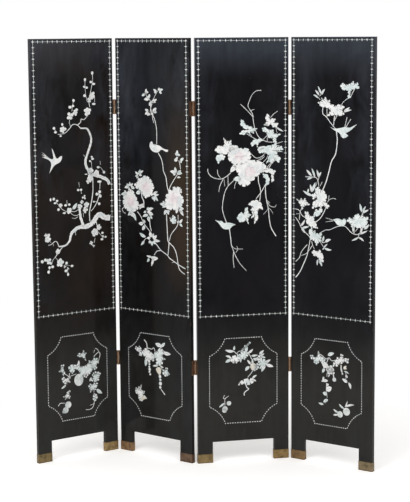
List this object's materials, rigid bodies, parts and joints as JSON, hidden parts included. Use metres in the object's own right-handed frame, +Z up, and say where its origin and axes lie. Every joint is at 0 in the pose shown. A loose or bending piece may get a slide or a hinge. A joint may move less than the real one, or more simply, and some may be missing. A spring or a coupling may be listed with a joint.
{
  "type": "folding screen",
  "caption": "Freestanding zigzag folding screen of tall lacquered leaves with shell flower inlay, brass-shod feet and pinned butt hinges.",
  "frame": {"origin": "middle of the standing screen's footprint, on the floor", "axes": "+Z up, +X to the right seen from the inlaid front, +Y towards the back; the leaves stand in the zigzag of the picture"},
  "size_m": [1.458, 0.3614, 1.829],
  "materials": {
    "lacquer": "gloss",
    "shell": "gloss",
    "shoe_brass": "dull",
    "hinge_brass": "satin"
  },
  "bodies": {
    "panel_1": {"board_1": "lacquer", "shoe_1_left": "shoe_brass", "shoe_1_right": "shoe_brass", "border_inlay_1": "shell", "cartouche_inlay_1": "shell", "flower_inlay_1": "shell", "fruit_inlay_1": "shell", "hinge_leaves_1_right": "hinge_brass", "hinge_screws_1": "hinge_brass"},
    "panel_2": {"board_2": "lacquer", "shoe_2_left": "shoe_brass", "shoe_2_right": "shoe_brass", "border_inlay_2": "shell", "cartouche_inlay_2": "shell", "flower_inlay_2": "shell", "fruit_inlay_2": "shell", "hinge_leaves_2_left": "hinge_brass", "hinge_leaves_2_right": "hinge_brass", "hinge_screws_2": "hinge_brass", "hinge_pins_1_2": "hinge_brass", "hinge_pins_2_3": "hinge_brass"},
    "panel_3": {"board_3": "lacquer", "shoe_3_left": "shoe_brass", "shoe_3_right": "shoe_brass", "border_inlay_3": "shell", "cartouche_inlay_3": "shell", "flower_inlay_3": "shell", "fruit_inlay_3": "shell", "hinge_leaves_3_left": "hinge_brass", "hinge_leaves_3_right": "hinge_brass", "hinge_screws_3": "hinge_brass", "hinge_pins_3_4": "hinge_brass"},
    "panel_4": {"board_4": "lacquer", "shoe_4_left": "shoe_brass", "shoe_4_right": "shoe_brass", "border_inlay_4": "shell", "cartouche_inlay_4": "shell", "flower_inlay_4": "shell", "fruit_inlay_4": "shell", "hinge_leaves_4_left": "hinge_brass", "hinge_screws_4": "hinge_brass"}
  },
  "joints": [
    {"name": "fold_1_2", "type": "hinge", "parent": "panel_2", "child": "panel_1", "pos_m": [-0.39255, 0.16071, 0.42], "axis": [0, 0, 1], "range_deg": [-73.13, 106.87]},
    {"name": "fold_2_3", "type": "hinge", "parent": "panel_2", "child": "panel_3", "pos_m": [-0.03521, -0.04683, 0.42], "axis": [0, 0, 1], "range_deg": [-50.4, 129.6]},
    {"name": "fold_3_4", "type": "hinge", "parent": "panel_3", "child": "panel_4", "pos_m": [0.36992, 0.03463, 0.42], "axis": [0, 0, -1], "range_deg": [-48.37, 131.63]}
  ]
}
